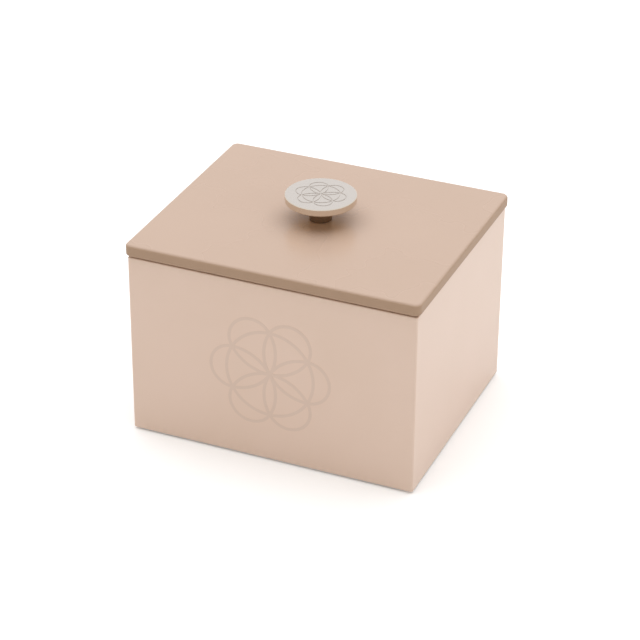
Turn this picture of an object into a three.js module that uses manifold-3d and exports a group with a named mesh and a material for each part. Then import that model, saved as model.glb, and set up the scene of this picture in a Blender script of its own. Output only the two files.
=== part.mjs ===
// A trinket box in lacquered fibreboard, with a lid that lifts off by a round metal knob.
// Four mitred walls are keyed with hidden splines and rebated for the base.
// A felt sheet lines the floor, and four thin rubber feet carry the box.
// Battens under the lid locate it between the walls, and rubber pads at its corners rest on their rim.
// One screw holds the knob.
// Millimetres, +Z up, with the front wall facing -Y.
// The origin is the middle of the footprint, on the plane where the feet stand.

import * as THREE from "three";
import { mergeVertices } from "three/addons/utils/BufferGeometryUtils.js";
import Module from "manifold-3d";

// Walls: their outline, seen from above, is the outside of the case
const caseWidth = 147.4;
const caseDepth = 122.4;
const wallHeight = 94.9;
const wallThickness = 6.1;
const caseCornerRadius = 0.8; // the softened arris down each outer corner
const caseEdgeRadius = 0.5; // the softened arrises round the top and the bottom
const rimChamfer = 0.5; // the eased arris inside the rim, where the lid's battens enter

// Fits and overruns shared by every piece
const glueLine = 0.1; // between two faces that are glued or clamped together
const cutOverrun = 1; // how far a cutting or trimming solid runs past what it cuts

// Base and felt floor
const baseThickness = 4;
const baseRebateDepth = 3; // how far the base laps in under each wall
const feltThickness = 2;
const feltClearance = 0.4; // from the felt's edge to a wall
const feltCornerRadius = 1.5;

// Splines glued into the mitred corners
const splineThickness = 1.2;
const splineWidthShare = 0.68; // of the wall's thickness
const splinePlaceShare = 0.41; // of the wall's thickness, from its inner face to the spline's middle
const splineEndMargin = 12; // from a wall's top or bottom to the spline's end
const splineClearance = 0.15;

// Feet
const footDiameter = 10;
const footHeight = 1;
const footChamfer = 0.3;
const footInset = 11; // from the outside of a wall to a foot's centre

// Lid
const lidOverhang = 1.3;
const lidThickness = 6;
const lidCornerRadius = 3.5;
const lidTopRadius = 1.5;
const lidBottomRadius = 1;

// Pads stuck under the lid's corners, which rest on the middle of the rim
const padDiameter = 4;
const padThickness = 0.6;
const padChamfer = 0.15;
const padSeatGap = 0.3; // between a pad at rest and the rim

// Battens under the lid
const battenWidth = 8;
const battenHeight = 4;
const battenPlay = 0.7; // from a batten's outer side to the wall
const battenChamfer = 0.8;

// Knob
const knobDiameter = 35;
const knobThickness = 3.7;
const knobFaceRadius = 0.35; // the rounded edge of the face
const knobUndersideRadius = 0.8; // the rounded edge of the underside
const stemDiameter = 11.2;
const stemHeight = 9.3;
const stemChamfer = 0.3;
const tenonDiameter = 6;
const tenonLength = 1.4;
const tenonClearance = 0.1;

// Screw and washer that hold the knob from inside the box
const screwDiameter = 4;
const screwClearance = 0.1; // round the screw in the stem
const boreEndWall = 1.6; // of the stem's metal past the end of the screw's bore
const screwTipGap = 0.8; // from the screw's tip to the end of the bore
const screwTipChamfer = 0.5;
const screwHeadDiameter = 8;
const screwHeadHeight = 2.6;
const screwHeadRadius = 1.2;
const screwRecessWidth = 1;
const screwRecessLength = 4.4;
const screwRecessDepth = 1.5;
const washerDiameter = 12;
const washerThickness = 1;
const screwHoleClearance = 0.3; // round the screw in the washer and in the lid

// How finely round shapes are drawn
const cornerSteps = 5;
const edgeSteps = 5;
const roundSteps = 64;
const smallRoundSteps = 32;

// Levels and sizes that follow from the ones above
const caseBottom = footHeight + glueLine;
const feltBottom = caseBottom + baseThickness + glueLine;
const lidBottom = caseBottom + wallHeight + padSeatGap + padThickness + glueLine;
const innerWidth = caseWidth - 2 * wallThickness;
const innerDepth = caseDepth - 2 * wallThickness;
const baseEdgeInset = wallThickness - baseRebateDepth + glueLine; // from a wall's outer face
const splineOutset = splinePlaceShare * wallThickness;
const splineMiddle = caseBottom + wallHeight / 2;
const boreDepth = stemHeight - boreEndWall;
const screwHoleDiameter = screwDiameter + 2 * screwHoleClearance;

const wasm = await Module();
wasm.setup();

// Turns a closed geometry into a solid that can be joined and cut.
function solidOf(geometry) {
  const bare = geometry.index ? geometry.toNonIndexed() : geometry.clone();
  bare.deleteAttribute("normal");
  bare.deleteAttribute("uv");
  const merged = mergeVertices(bare);
  return new wasm.Manifold(
    new wasm.Mesh({
      numProp: 3,
      vertProperties: merged.attributes.position.array,
      triVerts: new Uint32Array(merged.index.array),
    }),
  );
}

// Turns a cut solid back into a geometry with flat-shaded faces.
function geometryOf(solid) {
  const mesh = solid.getMesh();
  const indexed = new THREE.BufferGeometry();
  indexed.setAttribute("position", new THREE.BufferAttribute(mesh.vertProperties, mesh.numProp));
  indexed.setIndex(new THREE.BufferAttribute(mesh.triVerts, 1));
  const geometry = indexed.toNonIndexed();
  geometry.computeVertexNormals();
  return geometry;
}

// A rectangle with round corners, centred on the origin.
function roundedRectangle(width, depth, radius) {
  const x = width / 2 - radius;
  const y = depth / 2 - radius;
  const quarter = Math.PI / 2;
  const shape = new THREE.Shape();
  shape.absarc(x, -y, radius, -quarter, 0);
  shape.absarc(x, y, radius, 0, quarter);
  shape.absarc(-x, y, radius, quarter, 2 * quarter);
  shape.absarc(-x, -y, radius, 2 * quarter, 3 * quarter);
  shape.closePath();
  return shape;
}

// A slab from z = bottom to z = top, with round corners and its upper and lower edges rounded alike.
function softSlab(width, depth, bottom, top, cornerRadius, edgeRadius) {
  const geometry = new THREE.ExtrudeGeometry(roundedRectangle(width, depth, cornerRadius), {
    depth: top - bottom - 2 * edgeRadius,
    bevelThickness: edgeRadius,
    bevelSize: edgeRadius,
    bevelOffset: -edgeRadius,
    bevelSegments: edgeSteps,
    curveSegments: cornerSteps,
  });
  geometry.translate(0, 0, bottom + edgeRadius);
  return geometry;
}

// A prism standing on z = bottom, from an outline given as [x, y] points.
function prism(points, bottom, top) {
  const shape = new THREE.Shape(points.map(([x, y]) => new THREE.Vector2(x, y)));
  const geometry = new THREE.ExtrudeGeometry(shape, { depth: top - bottom, bevelEnabled: false });
  geometry.translate(0, 0, bottom);
  return geometry;
}

// A bar along X, from its section's [y, z] points.
function barAlongX(points, length) {
  const geometry = prism(points, -length / 2, length / 2);
  geometry.rotateX(Math.PI / 2);
  geometry.rotateZ(Math.PI / 2);
  return geometry;
}

// A solid of revolution about Z from [radius, height] points.
// They start and end on the axis, or close on themselves.
function turned(points, steps) {
  const geometry = new THREE.LatheGeometry(
    points.map(([radius, height]) => new THREE.Vector2(radius, height)),
    steps,
  );
  geometry.rotateX(Math.PI / 2);
  return geometry;
}

// The [radius, height] points of a quarter round, from one angle to the other in degrees.
function quarterRound(centreRadius, centreHeight, radius, fromDegrees, toDegrees) {
  return Array.from({ length: edgeSteps + 1 }, (_, step) => {
    const share = step / edgeSteps;
    const angle = THREE.MathUtils.degToRad(THREE.MathUtils.lerp(fromDegrees, toDegrees, share));
    return [centreRadius + radius * Math.cos(angle), centreHeight + radius * Math.sin(angle)];
  });
}

function material(color, roughness, metalness = 0) {
  return new THREE.MeshStandardMaterial({ color, roughness, metalness });
}

const caseLacquer = material(0xe6cfc0, 0.42);
const lidLacquer = material(0xc3ab9a, 0.45);
const satinNickel = material(0xcfc8c2, 0.32, 1);
const zincSteel = material(0xb4b4b4, 0.4, 1);
const beech = material(0xc79a6b, 0.7);
const blackRubber = material(0x2c2a29, 0.8);
const beigeFelt = material(0xb79f8c, 0.95);

function piece(name, geometry, finish, group) {
  const mesh = new THREE.Mesh(geometry, finish);
  mesh.name = name;
  group.add(mesh);
  return mesh;
}

// The spline's block at the corner where both x and y point outwards, grown by a margin on every side.
// Its width crosses the mitre, and its middle lies on the mitre, outside the corner of the inner faces.
function splineBlock(margin) {
  const thickness = splineThickness + 2 * margin;
  const width = splineWidthShare * wallThickness + 2 * margin;
  const length = wallHeight - 2 * splineEndMargin + 2 * margin;
  return new THREE.BoxGeometry(thickness, width, length).rotateZ(Math.PI / 4);
}

// A wall with its outer face at y = -reach, before it is turned to its side of the case.
function wallGeometry(length, reach) {
  const top = caseBottom + wallHeight;
  const outerFace = -reach;
  const innerFace = outerFace + wallThickness;
  const rebateFace = innerFace - baseRebateDepth;
  const rebateTop = caseBottom + baseThickness + glueLine;
  const block = solidOf(softSlab(length, 2 * reach, caseBottom, top, caseCornerRadius, caseEdgeRadius));
  const bar = solidOf(
    barAlongX(
      [
        [outerFace - cutOverrun, caseBottom - cutOverrun],
        [rebateFace, caseBottom - cutOverrun],
        [rebateFace, rebateTop],
        [innerFace, rebateTop],
        [innerFace, top - rimChamfer],
        [innerFace - rimChamfer - cutOverrun, top + cutOverrun],
        [outerFace - cutOverrun, top + cutOverrun],
      ],
      length + 2 * cutOverrun,
    ),
  );
  const mitreShift = glueLine * Math.SQRT1_2; // along the wall, for half a glue line square to the mitre
  const outerHalf = length / 2 - mitreShift + cutOverrun;
  const innerHalf = length / 2 - mitreShift - wallThickness - cutOverrun;
  const wedge = solidOf(
    prism(
      [
        [-outerHalf, outerFace - cutOverrun],
        [outerHalf, outerFace - cutOverrun],
        [innerHalf, innerFace + cutOverrun],
        [-innerHalf, innerFace + cutOverrun],
      ],
      caseBottom - cutOverrun,
      top + cutOverrun,
    ),
  );
  let wall = block.intersect(bar).intersect(wedge);
  const slotReach = length / 2 - wallThickness + splineOutset;
  for (const side of [-1, 1]) {
    const slot = splineBlock(splineClearance);
    slot.rotateZ(side < 0 ? 0 : Math.PI / 2);
    slot.translate(side * slotReach, innerFace - splineOutset, splineMiddle);
    wall = wall.subtract(solidOf(slot));
  }
  return geometryOf(wall);
}

function addWalls(group) {
  const walls = [
    ["front_wall", caseWidth, caseDepth / 2, 0],
    ["right_wall", caseDepth, caseWidth / 2, Math.PI / 2],
    ["back_wall", caseWidth, caseDepth / 2, Math.PI],
    ["left_wall", caseDepth, caseWidth / 2, -Math.PI / 2],
  ];
  for (const [name, length, reach, angle] of walls) {
    piece(name, wallGeometry(length, reach), caseLacquer, group).rotation.z = angle;
  }
}

const corners = [
  ["front_left", -1, -1],
  ["front_right", 1, -1],
  ["back_right", 1, 1],
  ["back_left", -1, 1],
];

function addSplines(group) {
  for (const [corner, sideX, sideY] of corners) {
    const spline = piece(`corner_spline_${corner}`, splineBlock(0), beech, group);
    spline.position.set(
      sideX * (innerWidth / 2 + splineOutset),
      sideY * (innerDepth / 2 + splineOutset),
      splineMiddle,
    );
    spline.rotation.z = sideX * sideY > 0 ? 0 : Math.PI / 2;
  }
}

function addBase(group) {
  const baseWidth = caseWidth - 2 * baseEdgeInset;
  const baseDepth = caseDepth - 2 * baseEdgeInset;
  const base = new THREE.BoxGeometry(baseWidth, baseDepth, baseThickness);
  piece("base_panel", base, caseLacquer, group).position.z = caseBottom + baseThickness / 2;
  const felt = new THREE.ExtrudeGeometry(
    roundedRectangle(innerWidth - 2 * feltClearance, innerDepth - 2 * feltClearance, feltCornerRadius),
    { depth: feltThickness, bevelEnabled: false, curveSegments: cornerSteps },
  );
  piece("floor_felt", felt, beigeFelt, group).position.z = feltBottom;
}

// Four rubber discs with their lower edge chamfered, one by each corner of the case.
function addDiscs(name, diameter, thickness, chamfer, inset, bottom, group) {
  const radius = diameter / 2;
  for (const [corner, sideX, sideY] of corners) {
    const disc = turned(
      [
        [0, 0],
        [radius - chamfer, 0],
        [radius, chamfer],
        [radius, thickness],
        [0, thickness],
      ],
      smallRoundSteps,
    );
    piece(`${name}_${corner}`, disc, blackRubber, group).position.set(
      sideX * (caseWidth / 2 - inset),
      sideY * (caseDepth / 2 - inset),
      bottom,
    );
  }
}

// The lid's slab has a larger round above than below, so it is what two softened slabs share.
function lidPanelGeometry() {
  const width = caseWidth + 2 * lidOverhang;
  const depth = caseDepth + 2 * lidOverhang;
  const below = -lidTopRadius - cutOverrun;
  const above = lidThickness + lidBottomRadius + cutOverrun;
  const upper = solidOf(softSlab(width, depth, below, lidThickness, lidCornerRadius, lidTopRadius));
  const lower = solidOf(softSlab(width, depth, 0, above, lidCornerRadius, lidBottomRadius));
  const hole = new THREE.CylinderGeometry(
    screwHoleDiameter / 2,
    screwHoleDiameter / 2,
    lidThickness + 2 * cutOverrun,
    smallRoundSteps,
  );
  hole.rotateX(Math.PI / 2);
  hole.translate(0, 0, lidThickness / 2);
  return geometryOf(upper.intersect(lower).subtract(solidOf(hole)));
}

// A batten along X, with both lower arrises chamfered.
function battenGeometry(length) {
  const half = battenWidth / 2;
  return barAlongX(
    [
      [-half + battenChamfer, -battenHeight],
      [half - battenChamfer, -battenHeight],
      [half, -battenHeight + battenChamfer],
      [half, 0],
      [-half, 0],
      [-half, -battenHeight + battenChamfer],
    ],
    length,
  );
}

function addBattens(group) {
  const frameWidth = innerWidth - 2 * battenPlay;
  const frameDepth = innerDepth - 2 * battenPlay;
  const crossLength = frameDepth - 2 * battenWidth - 2 * glueLine;
  for (const [name, side] of [["lid_batten_front", -1], ["lid_batten_back", 1]]) {
    const batten = piece(name, battenGeometry(frameWidth), lidLacquer, group);
    batten.position.set(0, (side * (frameDepth - battenWidth)) / 2, -glueLine);
  }
  for (const [name, side] of [["lid_batten_left", -1], ["lid_batten_right", 1]]) {
    const batten = piece(name, battenGeometry(crossLength), lidLacquer, group);
    batten.position.set((side * (frameWidth - battenWidth)) / 2, 0, -glueLine);
    batten.rotation.z = Math.PI / 2;
  }
}

function knobStemGeometry() {
  const radius = stemDiameter / 2;
  const boreRadius = screwDiameter / 2 + screwClearance;
  return turned(
    [
      [0, boreDepth],
      [boreRadius, boreDepth],
      [boreRadius, 0],
      [radius - stemChamfer, 0],
      [radius, stemChamfer],
      [radius, stemHeight],
      [tenonDiameter / 2, stemHeight],
      [tenonDiameter / 2, stemHeight + tenonLength],
      [0, stemHeight + tenonLength],
    ],
    smallRoundSteps,
  );
}

// The disc stands on z = 0 here, and the stem's tenon enters it from below.
function knobDiscGeometry() {
  const radius = knobDiameter / 2;
  const socketRadius = tenonDiameter / 2 + tenonClearance;
  const socketTop = tenonLength + tenonClearance;
  return turned(
    [
      [0, socketTop],
      [socketRadius, socketTop],
      [socketRadius, 0],
      ...quarterRound(radius - knobUndersideRadius, knobUndersideRadius, knobUndersideRadius, -90, 0),
      ...quarterRound(radius - knobFaceRadius, knobThickness - knobFaceRadius, knobFaceRadius, 0, 90),
      [0, knobThickness],
    ],
    roundSteps,
  );
}

// The screw points up from z = 0, where its head meets the washer, and the head hangs below.
function knobScrewGeometry() {
  const radius = screwDiameter / 2;
  const headRadius = screwHeadDiameter / 2;
  const domeRadius = headRadius - screwHeadRadius;
  const tip = washerThickness + lidThickness + 3 * glueLine + boreDepth - screwTipGap;
  const body = solidOf(
    turned(
      [
        [0, -screwHeadHeight],
        ...quarterRound(domeRadius, screwHeadRadius - screwHeadHeight, screwHeadRadius, -90, 0),
        [headRadius, 0],
        [radius, 0],
        [radius, tip - screwTipChamfer],
        [radius - screwTipChamfer, tip],
        [0, tip],
      ],
      smallRoundSteps,
    ),
  );
  const recessHeight = screwRecessDepth + cutOverrun;
  const recessMiddle = screwRecessDepth - screwHeadHeight - recessHeight / 2;
  const along = new THREE.BoxGeometry(screwRecessLength, screwRecessWidth, recessHeight);
  const across = new THREE.BoxGeometry(screwRecessWidth, screwRecessLength, recessHeight);
  along.translate(0, 0, recessMiddle);
  across.translate(0, 0, recessMiddle);
  return geometryOf(body.subtract(solidOf(along)).subtract(solidOf(across)));
}

function knobWasherGeometry() {
  const inner = screwHoleDiameter / 2;
  const outer = washerDiameter / 2;
  return turned(
    [
      [inner, 0],
      [outer, 0],
      [outer, washerThickness],
      [inner, washerThickness],
      [inner, 0],
    ],
    smallRoundSteps,
  );
}

function addKnob(group) {
  const knob = new THREE.Group();
  knob.position.z = lidThickness + glueLine;
  group.add(knob);
  piece("knob_stem", knobStemGeometry(), satinNickel, knob);
  piece("knob_disc", knobDiscGeometry(), satinNickel, knob).position.z = stemHeight + glueLine;
  const washerBottom = -glueLine - washerThickness;
  piece("knob_washer", knobWasherGeometry(), zincSteel, group).position.z = washerBottom;
  piece("knob_screw", knobScrewGeometry(), zincSteel, group).position.z = washerBottom - glueLine;
}

const box = new THREE.Group();

const boxCase = new THREE.Group();
box.add(boxCase);
addWalls(boxCase);
addSplines(boxCase);
addBase(boxCase);
addDiscs("foot", footDiameter, footHeight, footChamfer, footInset, 0, boxCase);

const lid = new THREE.Group();
lid.position.z = lidBottom;
box.add(lid);
piece("lid_panel", lidPanelGeometry(), lidLacquer, lid);
addBattens(lid);
addDiscs("lid_pad", padDiameter, padThickness, padChamfer, wallThickness / 2, -glueLine - padThickness, lid);
addKnob(lid);

export default box;
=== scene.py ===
# The finishes and fine shapes of the lacquered trinket box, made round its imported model.
import math
import bmesh
import bpy
from mathutils import Matrix, Vector


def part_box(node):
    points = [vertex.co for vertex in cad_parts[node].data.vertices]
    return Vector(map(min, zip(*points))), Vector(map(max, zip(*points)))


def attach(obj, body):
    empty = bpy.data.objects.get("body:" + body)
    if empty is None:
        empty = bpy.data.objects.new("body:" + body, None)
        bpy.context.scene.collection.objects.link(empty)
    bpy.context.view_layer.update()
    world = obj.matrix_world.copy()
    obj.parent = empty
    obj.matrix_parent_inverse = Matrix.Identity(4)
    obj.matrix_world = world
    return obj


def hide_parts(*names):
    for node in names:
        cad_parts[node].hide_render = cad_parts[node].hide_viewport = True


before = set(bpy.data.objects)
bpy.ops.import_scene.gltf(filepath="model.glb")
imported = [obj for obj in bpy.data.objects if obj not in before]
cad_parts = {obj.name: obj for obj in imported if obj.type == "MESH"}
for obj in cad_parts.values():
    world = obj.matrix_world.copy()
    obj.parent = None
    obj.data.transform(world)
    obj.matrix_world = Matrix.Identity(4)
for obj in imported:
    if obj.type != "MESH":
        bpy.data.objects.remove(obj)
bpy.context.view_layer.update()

MM = 0.001
UP = Vector((0, 0, 1))
WALLS = ("front_wall", "back_wall", "left_wall", "right_wall")
CORNERS = ("front_left", "front_right", "back_right", "back_left")

# Heights and radii that differ by less than this count as equal
slack = 0.01 * MM

# Points that are nearer than this are welded into one
weld = 0.001 * MM

# A face is level where its normal rises or falls by at least this much
level_rise = 0.99

# An edge that turns by more than this is sharp to the eye
sharp_angle = math.radians(35)

# How far a cutter runs past what it cuts
overrun = 1 * MM

# Arrises of the lacquered panels, and the screw's hole through the lid
case_corner_radius = 1 * MM
case_rim_radius = 0.6 * MM
case_foot_radius = 0.5 * MM
case_inner_radius = 0.4 * MM
lid_corner_radius = 3.5 * MM
lid_top_radius = 1.5 * MM
lid_bottom_radius = 1 * MM
screw_hole_radius = 2.3 * MM

# Rubber discs under the base and under the lid
foot_edge_radius = 0.3 * MM
pad_edge_radius = 0.15 * MM

# Felt on the floor
felt_corner_radius = 1.5 * MM
felt_edge_radius = 0.7 * MM

# Knob
knob_face_radius = 0.35 * MM
knob_underside_radius = 0.8 * MM
tenon_radius = 3 * MM
tenon_clearance = 0.1 * MM
tenon_length = 1.4 * MM
stem_bore_radius = 2.1 * MM
stem_bore_depth = 7.7 * MM
stem_edge_radius = 0.3 * MM

# The rosette: on the front wall as a tonal film, on the knob's face as an engraving
front_rosette_radius = 31.5 * MM
front_rosette_stroke = 1.6 * MM
film_thickness = 0.05 * MM
knob_rosette_radius = 13 * MM
knob_rosette_stroke = 0.55 * MM
engraving_depth = 0.2 * MM
bar_step = 0.002 * MM

# Facets across the rounded edges: the usual two, and then those of single edges
upright_facets = 6
edge_facets = 5
mouth_facets = 4
rubber_edge_facets = 3
lid_corner_facets = 10
lid_top_facets = 8
lid_bottom_facets = 6
knob_underside_facets = 6
knob_face_facets = 4
stem_edge_facets = 3

# Facets of the full rounds
rubber_facets = 64
screw_hole_facets = 48
knob_facets = 144
stem_facets = 96
rosette_facets = 144


# Small helpers for meshes

def span(*nodes):
    """The lowest and highest corners of several CAD nodes together."""
    corners = [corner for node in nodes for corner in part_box(node)]
    low = Vector(min(corner[axis] for corner in corners) for axis in range(3))
    high = Vector(max(corner[axis] for corner in corners) for axis in range(3))
    return low, high


def soften(bm, edges, radius, facets=edge_facets):
    """Rounds a set of edges."""
    bmesh.ops.bevel(
        bm, geom=edges, offset=radius, offset_type="OFFSET", segments=facets, profile=0.5,
        affect="EDGES", clamp_overlap=False, material=-1,
    )


def block(low, high, corner_radius, facets=upright_facets):
    """A mesh of the block between two corners, with its upright edges rounded."""
    bm = bmesh.new()
    bmesh.ops.create_cube(bm, size=1)
    bmesh.ops.scale(bm, vec=high - low, verts=bm.verts)
    bmesh.ops.translate(bm, vec=(low + high) / 2, verts=bm.verts)
    upright = [edge for edge in bm.edges if edge.verts[0].co.xy == edge.verts[1].co.xy]
    soften(bm, upright, corner_radius, facets)
    return bm


def rim(bm, height):
    """The edges round the largest level face at a height."""
    bm.normal_update()
    level = [
        face for face in bm.faces
        if abs(face.normal.z) > level_rise and abs(face.calc_center_median().z - height) < slack
    ]
    return list(max(level, key=lambda face: face.calc_area()).edges)


def join_meshes(bm, *others):
    """Adds other meshes to one and frees them."""
    for other in others:
        mesh = bpy.data.meshes.new("part")
        other.to_mesh(mesh)
        other.free()
        bm.from_mesh(mesh)
        bpy.data.meshes.remove(mesh)


def edges_where(bm, keep):
    """The edges whose two ends both pass a test."""
    return [edge for edge in bm.edges if keep(edge.verts[0].co) and keep(edge.verts[1].co)]


def turn(profile, facets, centre=Vector()):
    """A mesh turned about an upright axis, from (radius, height) points that start and end on it."""
    bm = bmesh.new()
    points = [bm.verts.new((radius, 0, height)) for radius, height in profile]
    lines = [bm.edges.new(pair) for pair in zip(points, points[1:])]
    bmesh.ops.spin(
        bm, geom=points + lines, cent=(0, 0, 0), axis=UP, dvec=(0, 0, 0), angle=2 * math.pi,
        steps=facets, use_merge=True,
    )
    bmesh.ops.remove_doubles(bm, verts=bm.verts, dist=weld)
    bmesh.ops.recalc_face_normals(bm, faces=bm.faces)
    bmesh.ops.translate(bm, vec=centre, verts=bm.verts)
    return bm


def on_circle(radius, height, centre=Vector()):
    """A test for points on one circle of a turned mesh."""
    return lambda point: (
        abs((point - centre).xy.length - radius) < slack and abs(point.z - height) < slack
    )


def make_piece(name, bm, *materials):
    """Turns a mesh into an object with smooth shading between its sharp edges."""
    mesh = bpy.data.meshes.new(name)
    bm.to_mesh(mesh)
    bm.free()
    mesh.shade_smooth()
    mesh.set_sharp_from_angle(angle=sharp_angle)
    piece = bpy.data.objects.new(name, mesh)
    bpy.context.scene.collection.objects.link(piece)
    for material in materials:
        mesh.materials.append(material)
    return piece


def cut(piece, cutters):
    """Cuts closed pieces from another, which takes on their materials in the cuts, and removes them."""
    for cutter in cutters:
        step = piece.modifiers.new("cut", "BOOLEAN")
        step.operation = "DIFFERENCE"
        step.solver = "EXACT"
        step.material_mode = "TRANSFER"
        step.object = cutter
    graph = bpy.context.evaluated_depsgraph_get()
    mesh = bpy.data.meshes.new_from_object(piece.evaluated_get(graph))
    mesh.set_sharp_from_angle(angle=sharp_angle)
    piece.modifiers.clear()
    piece.data = mesh
    for cutter in cutters:
        bpy.data.objects.remove(cutter)


def finish_shading(piece):
    """Weighs normals by area, so that a rounded edge doesn't shade the flat beside it."""
    step = piece.modifiers.new("even shading", "WEIGHTED_NORMAL")
    step.keep_sharp = True


# Small helpers for materials

def colour(code):
    """A linear colour from an sRGB hex code."""
    channels = [int(code[place:place + 2], 16) / 255 for place in (1, 3, 5)]
    return [c / 12.92 if c <= 0.04045 else ((c + 0.055) / 1.055) ** 2.4 for c in channels] + [1]


def connect(tree, node, inputs):
    """Fills a node's inputs, each with a value or with a link from a socket."""
    for name, value in inputs.items():
        if isinstance(value, bpy.types.NodeSocket):
            tree.links.new(value, node.inputs[name])
        else:
            node.inputs[name].default_value = value


def add_node(tree, kind, inputs=None, **settings):
    """Adds a shader node with its settings and inputs."""
    made = tree.nodes.new("ShaderNode" + kind)
    for name, value in settings.items():
        setattr(made, name, value)
    connect(tree, made, inputs or {})
    return made


def empty_tree(owner):
    """The node tree of a material or of the world, with nothing in it."""
    owner.use_nodes = True
    owner.node_tree.nodes.clear()
    return owner.node_tree


def new_material(name):
    """A material with its tree, its Principled shader and its object coordinates."""
    material = bpy.data.materials.new(name)
    tree = empty_tree(material)
    shader = add_node(tree, "BsdfPrincipled")
    add_node(tree, "OutputMaterial", {"Surface": shader.outputs["BSDF"]})
    place = add_node(tree, "TexCoord").outputs["Object"]
    return material, tree, shader, place


def noise(tree, place, size, detail, distortion=0):
    """A pattern of patches of about one size, from 0 to 1."""
    inputs = {"Vector": place, "Scale": 1 / size, "Detail": detail, "Distortion": distortion}
    return add_node(tree, "TexNoise", inputs).outputs["Fac"]


def blend(tree, pattern, margin, low_code, high_code):
    """Two colours that a pattern mixes, each of them pure over a margin at its end of the range."""
    made = add_node(tree, "ValToRGB", {"Fac": pattern})
    low, high = made.color_ramp.elements
    low.position = margin
    low.color = colour(low_code)
    high.position = 1 - margin
    high.color = colour(high_code)
    return made.outputs["Color"]


def spread(tree, pattern, least, most):
    """A pattern whose range of 0 to 1 is moved to least to most."""
    made = add_node(tree, "MapRange", {"Value": pattern, "To Min": least, "To Max": most})
    return made.outputs["Result"]


def mix_values(tree, share, first, second):
    """Mixes two values, whose sockets on the node go by number."""
    return add_node(tree, "Mix", {0: share, 2: first, 3: second}, data_type="FLOAT").outputs[0]


def mix_colours(tree, share, first, second):
    """Mixes two colours, whose sockets on the node go by number."""
    return add_node(tree, "Mix", {0: share, 6: first, 7: second}, data_type="RGBA").outputs[2]


def bumps(tree, pattern, depth, strength=1):
    """Normals that make a pattern look raised."""
    made = add_node(tree, "Bump", {"Height": pattern, "Distance": depth, "Strength": strength})
    return made.outputs["Normal"]


def calculate(tree, operation, first, second):
    """The result of one operation on two values."""
    return add_node(tree, "Math", {0: first, 1: second}, operation=operation).outputs[0]


# Finishes

# Lacquer: the clouds in its colour, the peel on its surface, and how unevenly it is rubbed
cloud_size = 38 * MM
cloud_margin = 0.3
peel_size = 1.4 * MM
peel_depth = 0.006 * MM
rubbing_spread = 0.05

# How far below the lid's top the painted shade on its edges and underside starts and is full, and how
# rough they are there
edge_shade_start_depth = 0.15 * MM
edge_shade_full_depth = 1 * MM
edge_roughness = 0.55

# Metal: its grain after blasting, polishing or zinc plating, and how unevenly it shines
blasted_grain = 0.12 * MM
polished_grain = 0.05 * MM
zinc_grain = 0.2 * MM
metal_grain_depth = 0.004 * MM
metal_spread = 0.05

# Felt and rubber
fibre_size = 0.7 * MM
fibre_margin = 0.35
fibre_depth = 0.15 * MM
pit_size = 0.4 * MM
pit_depth = 0.03 * MM


def satin_lacquer(name, code, deep_code, roughness=0.31, shaded_edge_code=None, top=0):
    """Sprayed two-part lacquer, rubbed to a satin: an even colour with a faint orange peel."""
    material, tree, shader, place = new_material(name)
    cloud = noise(tree, place, cloud_size, detail=2)
    shade = blend(tree, cloud, cloud_margin, deep_code, code)
    gloss = spread(tree, cloud, roughness, roughness + rubbing_spread)
    if shaded_edge_code:
        # the board's edges and underside are painted deeper than its top, as painted shade, and are
        # made duller
        height = add_node(tree, "SeparateXYZ", {0: place}).outputs["Z"]
        depth = add_node(
            tree, "MapRange",
            {"Value": height, "From Min": top - edge_shade_start_depth, "From Max": top - edge_shade_full_depth},
        ).outputs["Result"]
        shade = mix_colours(tree, depth, shade, colour(shaded_edge_code))
        gloss = mix_values(tree, depth, gloss, edge_roughness)
    inputs = {
        "Base Color": shade,
        "Roughness": gloss,
        "Normal": bumps(tree, noise(tree, place, peel_size, detail=1), peel_depth),
        "IOR": 1.5,
        # the matting agent takes some of the sheen away
        "Specular IOR Level": 0.4,
    }
    connect(tree, shader, inputs)
    return material


def plated_metal(name, code, roughness, grain):
    """Plated metal: its grain is finer the more the metal under the plate was polished."""
    material, tree, shader, place = new_material(name)
    speck = noise(tree, place, grain, detail=2)
    inputs = {
        "Base Color": colour(code),
        "Metallic": 1,
        "Roughness": spread(tree, speck, roughness - metal_spread, roughness + metal_spread),
        "Normal": bumps(tree, speck, metal_grain_depth),
    }
    connect(tree, shader, inputs)
    return material


def wool_felt(name, code, deep_code):
    """Pressed felt: a matt nap of fine crossing fibres that lightens at the edges."""
    material, tree, shader, place = new_material(name)
    fibre = noise(tree, place, fibre_size, detail=6, distortion=1.5)
    inputs = {
        "Base Color": blend(tree, fibre, fibre_margin, deep_code, code),
        "Roughness": 0.95,
        "Normal": bumps(tree, fibre, fibre_depth, strength=0.7),
        "Sheen Weight": 0.4,
        "Sheen Roughness": 0.5,
    }
    connect(tree, shader, inputs)
    return material


def die_cut_rubber(name, code):
    """Die-cut rubber: black, matt and slightly pitted."""
    material, tree, shader, place = new_material(name)
    inputs = {
        "Base Color": colour(code),
        "Roughness": 0.8,
        "Normal": bumps(tree, noise(tree, place, pit_size, detail=3), pit_depth),
    }
    connect(tree, shader, inputs)
    return material


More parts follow.
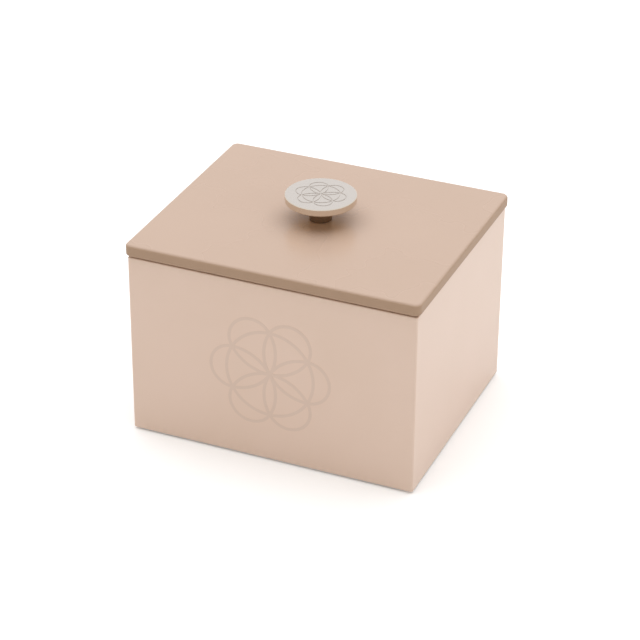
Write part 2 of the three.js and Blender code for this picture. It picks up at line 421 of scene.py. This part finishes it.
case_lacquer = satin_lacquer("case_lacquer_satin", "#EAD0C0", "#E8CEBD")
# the deeper colour on the lid's edges and underside is painted shade
lid_lacquer = satin_lacquer(
    "lid_lacquer_satin", "#C4AA98", "#C2A896", roughness=0.25, shaded_edge_code="#B0927A",
    top=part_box("lid_panel")[1].z,
)
print_lacquer = satin_lacquer("rosette_lacquer_tonal", "#E2C9BA", "#E0C7B7")
nickel = plated_metal("satin_nickel_plate", "#D7D0CA", roughness=0.26, grain=blasted_grain)
polished = plated_metal("polished_nickel_plate", "#D8CEC0", roughness=0.13, grain=polished_grain)
thin_nickel = plated_metal("thin_nickel_over_brass", "#F5D078", roughness=0.3, grain=blasted_grain)
# the stem's nickel is darkened and browned as painted shade, for the shaded lid that it mirrors under
# the disc
stem_nickel_shaded = plated_metal("stem_nickel_painted_shade", "#968067", roughness=0.2, grain=blasted_grain)
blasted = plated_metal("blasted_nickel_in_grooves", "#D7D0CA", roughness=0.45, grain=blasted_grain)
zinc = plated_metal("bright_zinc_plate", "#C2C3C4", roughness=0.3, grain=zinc_grain)
lining = wool_felt("pressed_wool_felt", "#C2AB99", "#B39B88")
rubber = die_cut_rubber("black_rubber", "#2B2928")


# Pieces of the case

def make_case_shell():
    """The four walls under one unbroken coat of lacquer, which bridges their mitres."""
    low, high = span(*WALLS)
    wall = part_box("left_wall")[1].x - low.x
    base_low, base_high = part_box("base_panel")
    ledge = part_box("floor_felt")[0].z
    # one glue line parts the base from the felt above it and from the rebate's side
    glue_line = ledge - base_high.z
    rebate = base_low.x - low.x - glue_line
    bm = block(low, high, case_corner_radius)
    soften(bm, rim(bm, high.z), case_rim_radius)
    soften(bm, rim(bm, low.z), case_foot_radius)
    shell = make_piece("case_shell", bm, case_lacquer)

    inside = Vector((wall, wall, 0))
    lap = Vector((rebate, rebate, 0))
    room_low = Vector((low.x, low.y, ledge)) + inside - UP * overrun
    room = block(room_low, high - inside + UP * overrun, case_inner_radius)
    recess_high = Vector((high.x, high.y, ledge)) - lap
    recess = block(low + lap - UP * overrun, recess_high, case_inner_radius)
    cut(shell, [make_piece("room", room, case_lacquer), make_piece("recess", recess, case_lacquer)])

    bm = bmesh.new()
    bm.from_mesh(shell.data)
    mouth = edges_where(
        bm,
        lambda point: (
            abs(point.z - high.z) < slack
            and abs(point.x) < high.x - wall + slack
            and abs(point.y) < high.y - wall + slack
        ),
    )
    soften(bm, mouth, case_inner_radius, mouth_facets)
    bm.to_mesh(shell.data)
    bm.free()
    shell.data.set_sharp_from_angle(angle=sharp_angle)
    finish_shading(shell)
    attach(shell, "case")
    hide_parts(*WALLS, *(f"corner_spline_{corner}" for corner in CORNERS))


def compass(angle):
    """A level vector one unit long, at an angle from the X axis."""
    return Vector((math.cos(angle), math.sin(angle), 0))


def arc_bar(centre, radius, start, sweep, stroke, low, high):
    """A flat bar bent round a compass point, from its section spun about it."""
    bm = bmesh.new()
    section = [(-stroke / 2, low), (stroke / 2, low), (stroke / 2, high), (-stroke / 2, high)]
    points = [
        bm.verts.new(centre + compass(start) * (radius + across) + UP * height)
        for across, height in section
    ]
    lines = [bm.edges.new((points[i - 1], points[i])) for i in range(len(points))]
    whole = sweep >= 2 * math.pi
    facets = round(sweep / (2 * math.pi) * rosette_facets)
    bmesh.ops.spin(
        bm, geom=points + lines, cent=centre, axis=UP, dvec=(0, 0, 0), angle=sweep, steps=facets,
        use_merge=whole,
    )
    if whole:
        bmesh.ops.remove_doubles(bm, verts=bm.verts, dist=weld)
    else:
        bmesh.ops.holes_fill(bm, edges=bm.edges, sides=len(section))
    bmesh.ops.recalc_face_normals(bm, faces=bm.faces)
    return bm


def rosette_bars(reach, stroke, low, high):
    """The bars of a compass rosette: a ring, six petals struck with its radius, and six scallops."""
    # the scallops reach furthest, by half the ring's radius past the lines that they stand on
    radius = (reach - stroke / 2) / (math.cos(math.pi / 6) + 0.5)
    arcs = [(Vector(), radius, 0, 2 * math.pi)]
    for petal in range(6):
        tip = math.pi / 2 + petal * math.pi / 3
        arcs.append((compass(tip) * radius, radius, tip + 2 * math.pi / 3, 2 * math.pi / 3))
        # a scallop is a half circle on the straight line from this petal's tip to the next one's
        side = tip + math.pi / 6
        middle = compass(side) * radius * math.cos(math.pi / 6)
        arcs.append((middle, radius / 2, side - math.pi / 2, math.pi))
    # each bar is a hair taller than the last, so that no two faces share a plane where bars cross
    return [
        arc_bar(*arc, stroke, low - order * bar_step, high + order * bar_step)
        for order, arc in enumerate(arcs)
    ]


def make_front_rosette():
    """The rosette in a deeper shade of the lacquer, printed on the front wall."""
    low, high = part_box("front_wall")
    first, *others = rosette_bars(front_rosette_radius, front_rosette_stroke, 0, film_thickness)
    join_meshes(first, *others)
    rosette = make_piece("front_rosette", first, print_lacquer)
    middle = Vector((0, low.y, (low.z + high.z) / 2))
    rosette.data.transform(Matrix.Translation(middle) @ Matrix.Rotation(math.pi / 2, 4, "X"))
    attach(rosette, "case")


def make_floor_felt():
    """The felt sheet on the floor, with a softly cut edge."""
    low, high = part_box("floor_felt")
    bm = block(low, high, felt_corner_radius)
    soften(bm, rim(bm, high.z), felt_edge_radius)
    felt = make_piece("floor_lining", bm, lining)
    finish_shading(felt)
    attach(felt, "case")
    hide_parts("floor_felt")


def make_rubber_discs(kind, edge_radius, body):
    """Four rubber discs by the corners, each with its lower edge rounded by the die."""
    for corner in CORNERS:
        node = f"{kind}_{corner}"
        low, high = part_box(node)
        centre = (low + high) / 2
        radius = (high.x - low.x) / 2
        centre.z = 0
        profile = [(0, low.z), (radius, low.z), (radius, high.z), (0, high.z)]
        bm = turn(profile, rubber_facets, centre)
        soften(bm, edges_where(bm, on_circle(radius, low.z, centre)), edge_radius, rubber_edge_facets)
        disc = make_piece(f"rubber_{node}", bm, rubber)
        finish_shading(disc)
        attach(disc, body)
        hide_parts(node)


# Pieces of the lid

def make_lid_shell():
    """The lid's panel, rounded more above than below, with the screw's hole through it."""
    low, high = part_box("lid_panel")
    bm = block(low, high, lid_corner_radius, lid_corner_facets)
    soften(bm, rim(bm, high.z), lid_top_radius, lid_top_facets)
    soften(bm, rim(bm, low.z), lid_bottom_radius, lid_bottom_facets)
    shell = make_piece("lid_shell", bm, lid_lacquer)
    profile = [
        (0, low.z - overrun),
        (screw_hole_radius, low.z - overrun),
        (screw_hole_radius, high.z + overrun),
        (0, high.z + overrun),
    ]
    cut(shell, [make_piece("drill", turn(profile, screw_hole_facets), lid_lacquer)])
    finish_shading(shell)
    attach(shell, "lid")
    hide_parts("lid_panel")


def make_knob_disc():
    """The knob's disc, with the rosette cut into its face and a socket for the stem below."""
    low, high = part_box("knob_disc")
    radius = (high.x - low.x) / 2
    socket_radius = tenon_radius + tenon_clearance
    socket_top = low.z + tenon_length + tenon_clearance
    profile = [
        (0, socket_top),
        (socket_radius, socket_top),
        (socket_radius, low.z),
        (radius, low.z),
        (radius, high.z),
        (0, high.z),
    ]
    bm = turn(profile, knob_facets)
    soften(bm, edges_where(bm, on_circle(radius, low.z)), knob_underside_radius, knob_underside_facets)
    soften(bm, edges_where(bm, on_circle(radius, high.z)), knob_face_radius, knob_face_facets)
    bm.normal_update()
    face_slot, flank_slot, underside_slot = range(3)
    for face in bm.faces:
        if face.normal.z > level_rise:
            face.material_index = face_slot
        elif face.normal.z < -level_rise:
            face.material_index = underside_slot
        else:
            face.material_index = flank_slot
    disc = make_piece("engraved_knob_disc", bm, nickel, polished, thin_nickel)
    groove_bottom = high.z - engraving_depth
    bars = rosette_bars(knob_rosette_radius, knob_rosette_stroke, groove_bottom, high.z + overrun)
    cut(disc, [make_piece("cutter", bar, blasted) for bar in bars])
    finish_shading(disc)
    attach(disc, "lid")
    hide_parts("knob_disc")


def make_knob_stem():
    """The knob's stem, with the bore for the screw below and its tenon above."""
    low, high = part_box("knob_stem")
    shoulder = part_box("knob_disc")[0].z - tenon_clearance
    radius = (high.x - low.x) / 2
    bore_top = low.z + stem_bore_depth
    profile = [
        (0, bore_top),
        (stem_bore_radius, bore_top),
        (stem_bore_radius, low.z),
        (radius, low.z),
        (radius, shoulder),
        (tenon_radius, shoulder),
        (tenon_radius, high.z),
        (0, high.z),
    ]
    bm = turn(profile, stem_facets)
    soften(bm, edges_where(bm, on_circle(radius, low.z)), stem_edge_radius, stem_edge_facets)
    # the stem's dark brown nickel is painted shade from under the disc
    stem = make_piece("turned_knob_stem", bm, stem_nickel_shaded)
    finish_shading(stem)
    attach(stem, "lid")
    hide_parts("knob_stem")


def dress(nodes, material):
    """Gives CAD nodes that keep their shape a better finish."""
    for name in nodes:
        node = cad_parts[name]
        node.data.materials.clear()
        node.data.materials.append(material)


make_case_shell()
make_front_rosette()
make_floor_felt()
make_rubber_discs("foot", foot_edge_radius, "case")
make_rubber_discs("lid_pad", pad_edge_radius, "lid")
make_lid_shell()
make_knob_disc()
make_knob_stem()
dress(["base_panel"], case_lacquer)
dress([f"lid_batten_{side}" for side in ("front", "back", "left", "right")], lid_lacquer)
dress(["knob_washer", "knob_screw"], zinc)


# Studio

# The room and the table, in metres
white = (1, 1, 1, 1)
ambient_colour = (1.07, 1.0, 0.86, 1)
ambient_strength = 0.426
table_code = "#F4F4F4"
table_lift = 0.2
table_half_width = 4

# A large cool lamp overhead and a faint one on the right, in metres and watts
lamp_colour = (0.965, 1.0, 1.07)
lamp_aim = Vector((0, 0, 0.05))
overhead_place = Vector((-0.16, 0.36, 3.0))
overhead_size = (5.0, 4.4)
overhead_power = 119.5
right_place = Vector((1.2, 0.1, 0.45))
right_size = (1.2, 0.8)
right_power = 0.9


def place_camera():
    """Looks at the box from the photograph's side and height."""
    aim = Vector((0, 0, 46.53)) * MM
    distance = 1134.7 * MM
    azimuth = math.radians(22.793)
    elevation = math.radians(29.589)
    roll = math.radians(0.397)
    data = bpy.data.cameras.new("camera")
    data.lens = 128.73
    data.sensor_width = 36
    camera = bpy.data.objects.new("camera", data)
    bpy.context.scene.collection.objects.link(camera)
    camera.matrix_world = (
        Matrix.Translation(aim)
        @ Matrix.Rotation(azimuth, 4, "Z")
        @ Matrix.Rotation(math.pi / 2 - elevation, 4, "X")
        @ Matrix.Rotation(roll, 4, "Z")
        @ Matrix.Translation((0, 0, distance))
    )
    bpy.context.scene.camera = camera


def add_softbox(name, place, size, power):
    """A soft rectangular lamp that faces the box."""
    data = bpy.data.lights.new(name, "AREA")
    data.shape = "RECTANGLE"
    data.size, data.size_y = size
    data.energy = power
    data.color = lamp_colour
    lamp = bpy.data.objects.new(name, data)
    # neither the camera nor a mirroring surface sees the lamp itself
    lamp.visible_camera = False
    lamp.visible_glossy = False
    bpy.context.scene.collection.objects.link(lamp)
    lamp.location = place
    lamp.rotation_euler = (lamp_aim - place).to_track_quat("-Z", "Y").to_euler()


def seen_directly(tree):
    """One for what the camera sees, also in metal and through glass, and zero for light on things."""
    path = add_node(tree, "LightPath").outputs
    seen = calculate(tree, "MAXIMUM", path["Is Camera Ray"], path["Is Glossy Ray"])
    seen = calculate(tree, "MAXIMUM", seen, path["Is Transmission Ray"])
    # the depth counts the matt surfaces on the way, so it is below a half only where there were none
    unscattered = calculate(tree, "LESS_THAN", path["Diffuse Depth"], 0.5)
    return calculate(tree, "MULTIPLY", seen, unscattered)


def make_room():
    """A warm white room, which looks pure white."""
    world = bpy.data.worlds.new("white_room")
    bpy.context.scene.world = world
    tree = empty_tree(world)
    ambient = add_node(tree, "Background", {"Color": ambient_colour, "Strength": ambient_strength})
    plain = add_node(tree, "Background", {"Color": white, "Strength": 1})
    mixed = add_node(
        tree, "MixShader", {0: seen_directly(tree), 1: ambient.outputs[0], 2: plain.outputs[0]},
    )
    add_node(tree, "OutputWorld", {"Surface": mixed.outputs[0]})


def make_table():
    """A matt white table, which looks a little lighter than it is lit."""
    bm = bmesh.new()
    bmesh.ops.create_grid(bm, x_segments=1, y_segments=1, size=table_half_width)
    paper = bpy.data.materials.new("white_paper")
    tree = empty_tree(paper)
    matt = add_node(tree, "BsdfDiffuse", {"Color": colour(table_code)})
    strength = calculate(tree, "MULTIPLY", seen_directly(tree), table_lift)
    lift = add_node(tree, "Emission", {"Color": white, "Strength": strength})
    both = add_node(tree, "AddShader", {0: matt.outputs[0], 1: lift.outputs[0]})
    add_node(tree, "OutputMaterial", {"Surface": both.outputs[0]})
    floor = make_piece("table", bm, paper)


place_camera()
make_room()
make_table()
add_softbox("overhead_softbox", overhead_place, overhead_size, overhead_power)
add_softbox("right_softbox", right_place, right_size, right_power)
bpy.context.scene.view_settings.view_transform = "Standard"
